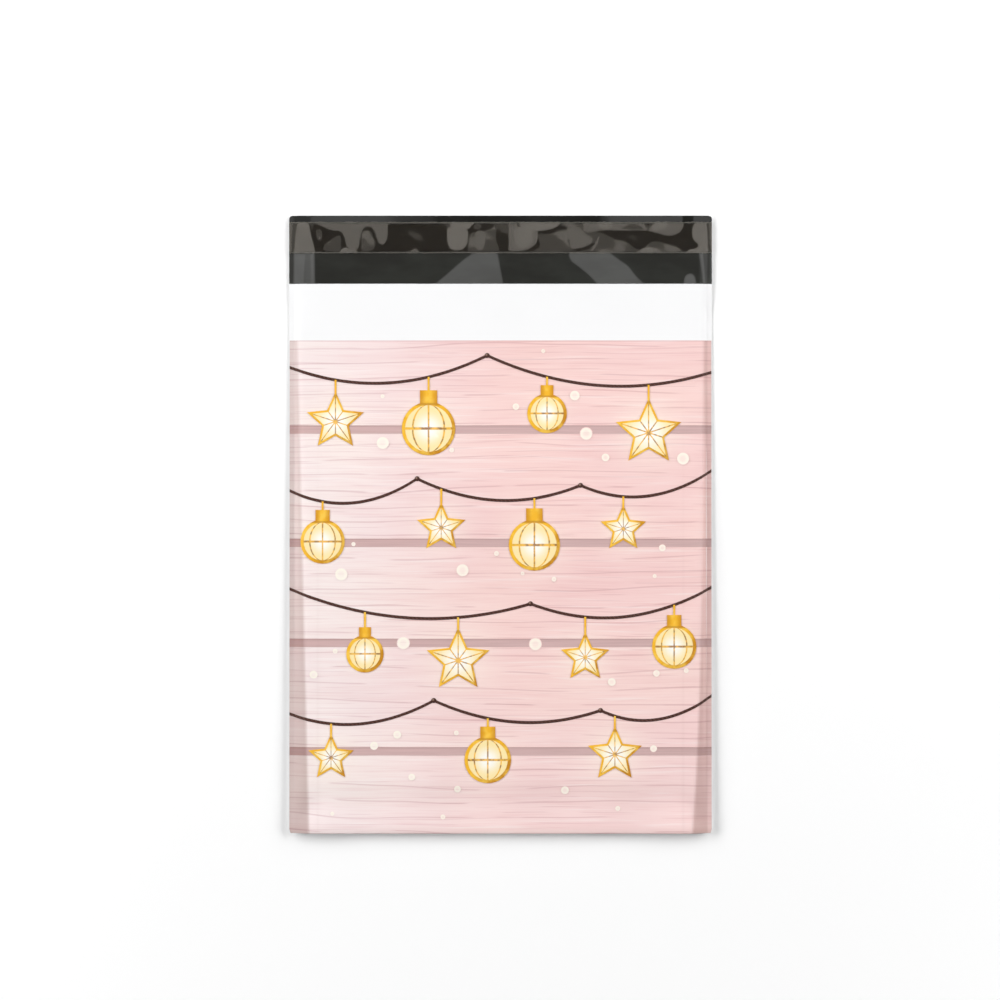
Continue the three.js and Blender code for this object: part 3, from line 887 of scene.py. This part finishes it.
def halo(x, y):
    """Warm light round each ornament, from 0 to 1."""
    light = np.zeros_like(x)
    for name in ornament_nodes():
        _, middle_x, middle_y, radius = ornament_middle(name)
        reach = np.hypot(x - middle_x, y - middle_y) / radius
        light = np.maximum(light, np.exp(-((reach / 1.15) ** 2)))
    return 0.45 * light


def edge_shade(x, y):
    """Painted shade over the print: how far it is darkened where the pouch turns down at its sides and bottom, at its
    very edges and along a faint crease near the sides.
    """
    up = way_up(y)
    left = mix(13.2, 5.5, up)
    right = 5.6 + 7.4 * np.exp(-up / 0.3)
    inward = HALF_WIDTH - np.abs(x)
    strip = np.where(x < 0, 1 - smooth(inward, left - 2.2, left), 1 - smooth(inward, right - 2.2, right))
    step = np.where(x < 0, smooth(inward, 3.0, 3.8), smooth(inward, 2.0, 3.4))
    depth = np.where(x < 0, mix(0.94, 0.54, up), mix(0.86, 0.66, up))
    rim = np.where(x < 0, mix(0.92, 1, step), mix(0.6, 1, step))
    # Painted shade also lies along the bottom fold, at the very edges, and along a faint crease about 17.5 mm in from
    # each side.
    low = 0.15 * (1 - smooth(y - FOLD_Y, 1, 5))
    edge = 0.08 * (1 - smooth(inward, 0.6, 1.6))
    crease = 0.1 * (1 - up) * np.exp(-(((inward - 17.5) / 0.9) ** 2))
    return np.clip(strip * depth * rim + low + edge + crease, 0, 1)


def ink_height(layer):
    """Height of the top of one layer of ink over the film."""
    return INK_FLOOR + INK_STEP * INK_LAYERS.index(layer) + INK


def build_boards():
    """The painted field, which runs down to the bottom and round the fold."""
    rows = np.arange(FRONT_ROWS + 1) * FRONT_LENGTH / FRONT_ROWS
    top = MOUTH_Y - PRINT_Y
    turn = FRONT_LENGTH + np.arange(1, TURN_ROWS + 1) / TURN_ROWS * 0.98 * TURN_LENGTH
    lengths = np.concatenate([[top], rows[rows > top + 0.2], turn])
    bm = new_grid(COLUMNS, len(lengths) - 1)
    share, along, _ = places_of(bm)
    along = np.interp(along * (len(lengths) - 1), np.arange(len(lengths)), lengths)
    x, y, z = outer_place(crowded(share) * PRINT_X / HALF_WIDTH, along, ink_height("field"))
    move_to(bm, x, y, z)
    bmesh.ops.reverse_faces(bm, faces=bm.faces)
    wall(bm, INK)
    piece = finish_mesh(bm, "painted_boards", ["print_field"], [boards_look()], flat_angle=50)
    store(piece, "halo", halo)
    store(piece, "edge_shade", edge_shade)
    return piece


def cut_across(bm, spacing):
    """Cuts a flat print along evenly spaced lines both ways, so that it can follow the film."""
    for axis in (0, 1):
        values = [vert.co[axis] for vert in bm.verts]
        steps = math.ceil((max(values) - min(values)) / (spacing * MM))
        for step in range(1, steps):
            point = [0, 0, 0]
            point[axis] = mix(min(values), max(values), step / steps)
            normal = [0, 0, 0]
            normal[axis] = 1
            parts = bm.verts[:] + bm.edges[:] + bm.faces[:]
            bmesh.ops.bisect_plane(bm, geom=parts, dist=1e-8, plane_co=point, plane_no=normal)


def drape(bm, layer, spacing):
    """Lays a flat print on the film as one layer of ink."""
    cut_across(bm, spacing)
    x, y, _ = places_of(bm) / MM
    move_to(bm, x, y, front_outer(x, y) + ink_height(layer))
    wall(bm, INK)


def disc(x, y, radius, layer):
    """A round print, draped on the film."""
    bm = bmesh.new()
    bmesh.ops.create_circle(bm, segments=24, radius=radius * MM, cap_ends=True, cap_tris=True)
    bmesh.ops.translate(bm, verts=bm.verts, vec=(x * MM, y * MM, 0))
    drape(bm, layer, 1.2)
    return bm


def printed(node_name, layer, spacing):
    """A print's own outline, from the upper faces of its solid, draped on the film."""
    bm = bmesh.new()
    bm.from_mesh(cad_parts[node_name].data)
    bmesh.ops.remove_doubles(bm, verts=bm.verts, dist=0.002 * MM)
    bm.normal_update()
    hidden = [face for face in bm.faces if face.normal.z < 0.5]
    bmesh.ops.delete(bm, geom=hidden, context="FACES")
    bmesh.ops.scale(bm, verts=bm.verts, vec=(1, 1, 0))
    bmesh.ops.dissolve_limit(bm, angle_limit=math.radians(0.5), verts=bm.verts, edges=bm.edges)
    bmesh.ops.triangulate(bm, faces=bm.faces)
    drape(bm, layer, spacing)
    return bm


def build_joints():
    look = joint_look()
    for name in joint_nodes():
        low, high = box_of(name)
        bm = printed(name, "joint", 1.6)
        piece = finish_mesh(bm, name.replace("print", "board"), [name], [look], flat_angle=50)
        store(piece, "edge_shade", edge_shade)
        store(piece, "upper", lambda x, y: smooth(y, high.y - 1.3, high.y - 0.5) * 1.0)


# Cords hang in swags between nails: across the bag and down from the print's top, and their sag
CORD_WIDTH = 1.8
CORDS = [
    ([(-127, 16), (-8, 9), (127, 19)], 13),
    ([(-127, 90), (-50, 83), (48, 87), (127, 78)], 11),
    ([(-127, 149), (18, 158), (127, 148)], 13),
    ([(-127, 224), (-40, 216), (60, 222), (127, 213)], 10),
]
NAIL_RADIUS = 1.5


def cord_height(x, nails, sag):
    """Height of a cord's middle line: a parabola between each two of its nails."""
    across, drops = np.array(nails, float).T
    number = np.clip(np.searchsorted(across, x) - 1, 0, len(across) - 2)
    share = (x - across[number]) / (across[number + 1] - across[number])
    return PRINT_Y - mix(drops[number], drops[number + 1], share) - 4 * sag * share * (1 - share)


def build_cords():
    look = cord_look()
    for name, (nails, sag) in zip(cord_nodes(), CORDS):
        bm = new_grid(200, 4)
        share, up, _ = places_of(bm)
        x = (2 * share - 1) * PRINT_X
        y = cord_height(x, nails, sag) + (up - 0.5) * CORD_WIDTH
        move_to(bm, x, y, front_outer(x, y) + ink_height("cord"))
        wall(bm, INK)
        new_name = name.removeprefix("print_")
        piece = finish_mesh(bm, new_name, [name], [look], flat_angle=50)
        store(piece, "strand", lambda x, y: np.stack([x, y - cord_height(x, nails, sag), x * 0]))


def build_nails():
    """The heads of the nails that hold the cords."""
    look = nail_look()
    inner = [(x, PRINT_Y - drop) for nails, _ in CORDS for x, drop in nails[1:-1]]
    for number, (x, y) in enumerate(inner, start=1):
        bm = disc(x, y, NAIL_RADIUS, "ornament")
        piece = finish_mesh(bm, f"cord_nail_{number}", [], [look], flat_angle=50)
        store_local(piece, x, y, NAIL_RADIUS)


def store_local(piece, middle_x, middle_y, radius):
    """Keeps each place as seen from an ornament's middle, where 1 is its radius."""

    def local(x, y):
        return np.stack([(x - middle_x) / radius, (y - middle_y) / radius, np.zeros_like(x)])

    store(piece, "local", local)


def build_ornaments():
    gold = gold_look()
    glows = {kind: glow_look(kind) for kind in ("star", "globe")}
    for name in ornament_nodes():
        kind, *place = ornament_middle(name)
        ground = printed(name, "ornament", 2.0)
        ground = finish_mesh(ground, name.replace("print", "gold"), [name], [gold], flat_angle=50)
        glow_name = f"{name}_glow"
        glow = printed(glow_name, "glow", 2.0)
        new_name = glow_name.removeprefix("print_")
        glow = finish_mesh(glow, new_name, [glow_name], [glows[kind]], flat_angle=50)
        store_local(ground, *place)
        store_local(glow, *place)


TRIES_FOR_DOTS = 3000


def clear_of_motifs(x, y, radius):
    """True where a dot would touch no ornament and no cord."""
    for name in ornament_nodes():
        _, middle_x, middle_y, reach = ornament_middle(name)
        if math.hypot(x - middle_x, y - middle_y) < reach + radius + 3:
            return False
        low, high = box_of(name)
        if low.x - radius < x < high.x + radius and middle_y < y < high.y + radius:
            return False
    for name in cord_nodes():
        low, high = box_of(name)
        if low.y - radius - 1 < y < high.y + radius + 1:
            return False
    return True


def build_dots():
    """Dots of cream light, scattered over the boards."""
    settings = bpy.context.scene.mailer_print
    look = dot_look()
    chance = random.Random(41)
    placed = []
    for _ in range(TRIES_FOR_DOTS):
        radius = chance.choice([1.3, 1.6, 2.2, 2.6, 3.2, 4.0])
        x = chance.uniform(8 - SEAM_X, SEAM_X - 8)
        y = chance.uniform(FOLD_Y + 8, PRINT_Y - 6)
        apart = all(math.hypot(x - a, y - b) > 14 for a, b, _ in placed)
        if len(placed) < settings.dot_count and apart and clear_of_motifs(x, y, radius):
            placed.append((x, y, radius))
    for number, (x, y, radius) in enumerate(placed, start=1):
        bm = disc(x, y, radius, "cord")
        piece = finish_mesh(bm, f"cream_dot_{number}", [], [look], flat_angle=50)
        store_local(piece, x, y, radius)


# The stage


def area_lamp(name, place, size, radiance, target=None):
    """A soft box whose face shines evenly. It faces down, or to a target."""
    light = bpy.data.lights.new(name, "AREA")
    light.shape = "RECTANGLE"
    light.size, light.size_y = size
    light.energy = radiance * math.pi * size[0] * size[1]
    lamp = bpy.data.objects.new(name, light)
    lamp.location = place
    lamp.visible_camera = False
    if target is not None:
        lamp.rotation_euler = (target - lamp.location).to_track_quat("-Z", "Y").to_euler()
    bpy.context.scene.collection.objects.link(lamp)
    return lamp


def build_floor():
    """A pale floor that stays white in the picture and keeps the bag's shadow."""
    bm = bmesh.new()
    bmesh.ops.create_grid(bm, x_segments=1, y_segments=1, size=20)
    bmesh.ops.translate(bm, verts=bm.verts, vec=(0, 0, -0.0002))
    mesh = bpy.data.meshes.new("floor")
    bm.to_mesh(mesh)
    bm.free()
    material, tree, shader = new_material("pale_floor")
    tree.nodes.remove(shader)
    path = node(tree, "ShaderNodeLightPath").outputs
    seen = math_of(tree, "MAXIMUM", path["Is Camera Ray"], path["Is Glossy Ray"])
    seen = math_of(tree, "MAXIMUM", seen, path["Is Transmission Ray"])
    away = node(tree, "ShaderNodeVectorMath", {0: object_place(tree)}, operation="LENGTH").outputs["Value"]
    settings = bpy.context.scene.mailer_stage
    strength = math_of(tree, "MULTIPLY", seen, ranged(tree, away, 0.19, 2.2, settings.floor_glow, 1.0))
    glow = node(tree, "ShaderNodeEmission", {"Color": (1, 1, 1, 1), "Strength": strength})
    matt = node(tree, "ShaderNodeBsdfDiffuse", {"Color": (0.94, 0.94, 0.94, 1)})
    both = node(tree, "ShaderNodeAddShader", {0: matt.outputs[0], 1: glow.outputs[0]})
    join(tree, both.outputs[0], tree.nodes["Material Output"].inputs["Surface"])
    mesh.materials.append(material)
    floor = bpy.data.objects.new("floor", mesh)
    bpy.context.scene.collection.objects.link(floor)
    return floor


def build_flag():
    """A black card over the camera, so that the glossy flap mirrors dark where it lies flat."""
    bm = bmesh.new()
    bmesh.ops.create_grid(bm, x_segments=1, y_segments=1, size=0.5)
    bmesh.ops.scale(bm, verts=bm.verts, vec=(0.72, 1.06, 1))
    bmesh.ops.translate(bm, verts=bm.verts, vec=(0, -0.12, 1.6))
    mesh = bpy.data.meshes.new("black_card")
    bm.to_mesh(mesh)
    bm.free()
    material, _, shader = new_material("black_card")
    shader.inputs["Base Color"].default_value = (0.01, 0.01, 0.01, 1)
    shader.inputs["Roughness"].default_value = 1.0
    mesh.materials.append(material)
    card = bpy.data.objects.new("black_card", mesh)
    bpy.context.scene.collection.objects.link(card)
    return card


# Soft boxes past the flap: distance, depth and share of the full radiance
TOP_BOXES = [(0.675, 0.25, 0.5), (0.95, 0.3, 0.82), (1.25, 0.3, 1.3)]

# Low strips past the flap's corners throw the shadows below the bag and beside it
STRIP_SIZE = (5.5, 1.5)
LOW_STRIPS = [
    ("low_strip_left", (-3.1, 1.2, 1.4), 2.08),
    ("low_strip_right", (3.1, 1.2, 1.4), 1.76),
]


def build_lights():
    settings = bpy.context.scene.mailer_stage
    for number, (y, depth, share) in enumerate(TOP_BOXES, start=1):
        area_lamp(f"top_softbox_{number}", (0, y, 1.6), (1.4, depth), settings.top_light * share)
    area_lamp("left_softbox", (-0.95, -0.45, 1.6), (0.9, 1.5), settings.left_light)
    area_lamp("right_softbox", (1.0, -0.45, 1.6), (0.9, 1.5), settings.right_light)
    for name, place, share in LOW_STRIPS:
        strip = area_lamp(name, place, STRIP_SIZE, settings.low_light * share, target=Vector((0, 0, 0)))
        strip.visible_glossy = False
    build_world()


def build_world():
    """Even light, which is brighter where it is mirrored, and white where it is seen."""
    settings = bpy.context.scene.mailer_stage
    world = bpy.data.worlds.new("studio")
    world.use_nodes = True
    tree = world.node_tree
    path = node(tree, "ShaderNodeLightPath").outputs
    strength = math_of(tree, "MAXIMUM", settings.world_light, math_of(tree, "MULTIPLY", path["Is Glossy Ray"], 0.45))
    seen = math_of(tree, "MAXIMUM", path["Is Camera Ray"], path["Is Transmission Ray"])
    background = tree.nodes["Background"]
    background.inputs["Color"].default_value = (1, 1, 1, 1)
    join(tree, math_of(tree, "MAXIMUM", strength, seen), background.inputs["Strength"])
    bpy.context.scene.world = world


def build_camera():
    settings = bpy.context.scene.mailer_stage
    data = bpy.data.cameras.new("camera")
    data.lens = 85
    data.sensor_width = 36
    camera = bpy.data.objects.new("camera", data)
    camera.location = (-0.0003, settings.camera_y, settings.camera_height)
    bpy.context.scene.collection.objects.link(camera)
    bpy.context.scene.camera = camera


# Settings, operators and panel


def colour_property(name, description, default):
    return FloatVectorProperty(name=name, description=description, subtype="COLOR", size=3, min=0, max=1, default=default)


class MailerFilmSettings(bpy.types.PropertyGroup):
    thickness: FloatProperty(
        name="Thickness", description="Thickness of the film", unit="LENGTH", default=FILM * MM, precision=5
    )
    white: colour_property("Outside", "Colour of the film's outer side", (0.93, 0.93, 0.935))
    charcoal: colour_property("Inside", "Colour of the film's inner side", (0.03, 0.031, 0.0275))


class MailerPrintSettings(bpy.types.PropertyGroup):
    pink_left: colour_property("Boards, left", "Paint at the left side", (0.94, 0.84, 0.815))
    pink_right: colour_property("Boards, right", "Paint at the right side", (0.93, 0.675, 0.64))
    grain: colour_property("Grain", "What the grain multiplies the paint by", (0.95, 0.89, 0.895))
    crack: colour_property("Cracks", "What the thin cracks multiply the paint by", (0.82, 0.72, 0.74))
    joint: colour_property("Joints", "Shade between the boards", (0.64, 0.44, 0.43))
    cord: colour_property("Cord", "The hanging cords", (0.055, 0.022, 0.016))
    gold: colour_property("Gold", "Rims, caps and threads", (0.9, 0.48, 0.03))
    cream: colour_property("Glow", "Outer part of the ornaments' glow", (0.98, 0.8, 0.42))
    dot_count: IntProperty(name="Dots", description="How many dots of light", default=34, min=0, max=60)


class MailerStageSettings(bpy.types.PropertyGroup):
    camera_height: FloatProperty(
        name="Camera height", description="Height over the floor", unit="LENGTH", default=1.4195
    )
    camera_y: FloatProperty(name="Camera Y", description="Place along the bag", unit="LENGTH", default=0.0147)
    world_light: FloatProperty(name="World", description="Strength of the even light", default=0.05)
    top_light: FloatProperty(name="Top", description="Radiance of the soft boxes past the flap", default=1.42)
    left_light: FloatProperty(name="Left", description="Radiance of the left soft box", default=0.4)
    right_light: FloatProperty(name="Right", description="Radiance of the right soft box", default=0.35)
    low_light: FloatProperty(name="Low", description="Radiance of the low strips", default=3.95)
    floor_glow: FloatProperty(name="Floor", description="White added to the floor in view", default=0.04)


class MAILER_OT_film(bpy.types.Operator):
    """Add the folded sheet of film, the charcoal face of its flap, the adhesive and the liner"""

    bl_idname = "mailer.film"
    bl_label = "Film and flap"

    def execute(self, context):
        build_film()
        build_lining()
        build_strip()
        build_liner()
        return {"FINISHED"}


class MAILER_OT_boards(bpy.types.Operator):
    """Add the painted boards and the joints between them"""

    bl_idname = "mailer.boards"
    bl_label = "Painted boards"

    def execute(self, context):
        build_boards()
        build_joints()
        return {"FINISHED"}


class MAILER_OT_cords(bpy.types.Operator):
    """Add the cords that hang in swags, and their nails"""

    bl_idname = "mailer.cords"
    bl_label = "Cords"

    def execute(self, context):
        build_cords()
        build_nails()
        return {"FINISHED"}


class MAILER_OT_ornaments(bpy.types.Operator):
    """Add the stars and globes with their glow"""

    bl_idname = "mailer.ornaments"
    bl_label = "Ornaments"

    def execute(self, context):
        build_ornaments()
        return {"FINISHED"}


class MAILER_OT_dots(bpy.types.Operator):
    """Add the cream dots of light"""

    bl_idname = "mailer.dots"
    bl_label = "Dots"

    def execute(self, context):
        build_dots()
        return {"FINISHED"}


class MAILER_OT_stage(bpy.types.Operator):
    """Add the floor, the lights and the camera"""

    bl_idname = "mailer.stage"
    bl_label = "Stage"

    def execute(self, context):
        build_floor()
        build_flag()
        build_lights()
        build_camera()
        context.scene.view_settings.view_transform = "Standard"
        return {"FINISHED"}


class MAILER_PT_sidebar(bpy.types.Panel):
    bl_label = "Poly mailer bag"
    bl_idname = "MAILER_PT_sidebar"
    bl_space_type = "VIEW_3D"
    bl_region_type = "UI"
    bl_category = "Mailer"

    def draw(self, context):
        for operator in OPERATORS:
            self.layout.operator(operator.bl_idname)
        for group in SETTINGS:
            settings = getattr(context.scene, group)
            for name in settings.__annotations__:
                self.layout.prop(settings, name)


OPERATORS = (
    MAILER_OT_stage,
    MAILER_OT_film,
    MAILER_OT_boards,
    MAILER_OT_cords,
    MAILER_OT_ornaments,
    MAILER_OT_dots,
)
SETTINGS = {
    "mailer_film": MailerFilmSettings,
    "mailer_print": MailerPrintSettings,
    "mailer_stage": MailerStageSettings,
}


def register():
    for group in SETTINGS.values():
        bpy.utils.register_class(group)
    for operator in OPERATORS:
        bpy.utils.register_class(operator)
    bpy.utils.register_class(MAILER_PT_sidebar)
    for name, group in SETTINGS.items():
        setattr(bpy.types.Scene, name, PointerProperty(type=group))


def unregister():
    for name in SETTINGS:
        delattr(bpy.types.Scene, name)
    bpy.utils.unregister_class(MAILER_PT_sidebar)
    for operator in OPERATORS:
        bpy.utils.unregister_class(operator)
    for group in SETTINGS.values():
        bpy.utils.unregister_class(group)


def main():
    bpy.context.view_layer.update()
    register()
    bpy.ops.mailer.stage()
    bpy.ops.mailer.film()
    bpy.ops.mailer.boards()
    bpy.ops.mailer.cords()
    bpy.ops.mailer.ornaments()
    bpy.ops.mailer.dots()


if __name__ == "__main__":
    main()
